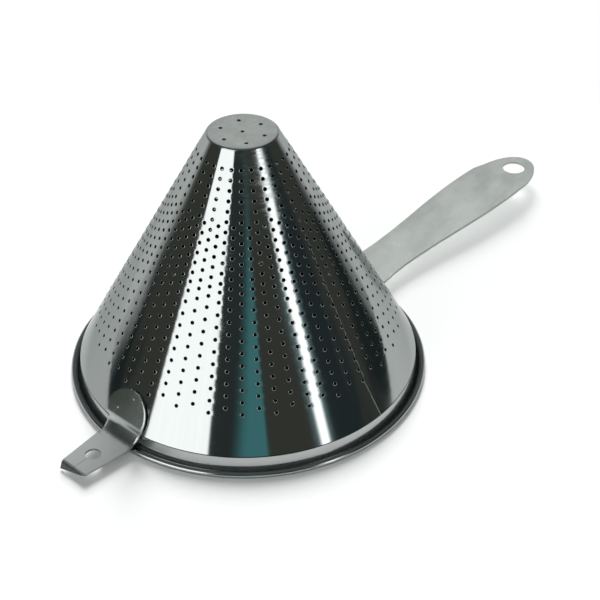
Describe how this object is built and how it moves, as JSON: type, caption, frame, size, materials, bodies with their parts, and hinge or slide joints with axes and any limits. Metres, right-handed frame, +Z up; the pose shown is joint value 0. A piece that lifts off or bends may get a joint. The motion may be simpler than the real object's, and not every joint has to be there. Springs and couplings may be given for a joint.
{
  "type": "conical strainer",
  "caption": "Conical strainer of perforated stainless sheet with a flat tip, a rolled rim, a stamped paddle handle and a pan rest hook, standing upside down on its rim.",
  "frame": {"origin": "on the table, under the middle of the strainer's overall length", "axes": "+X along the handle, away from the cone; the rest hook points along -X; +Z up the cone, from its rim to its tip"},
  "size_m": [0.4056, 0.1996, 0.1471],
  "materials": {
    "polished_sheet": "polished stainless sheet with fine lines up the cone",
    "satin_sheet": "satin stainless sheet",
    "bright_rim": "bright rolled stainless strip",
    "bright_stamping": "bright stamped stainless sheet with polished edges",
    "drawn_wire": "plain drawn steel wire"
  },
  "bodies": {
    "root": {"cone_wall": "polished_sheet", "tip_cap": "satin_sheet", "rim_ring": "bright_rim", "rim_wire": "drawn_wire", "rest_hook": "bright_stamping", "handle": "satin_sheet"}
  },
  "joints": []
}
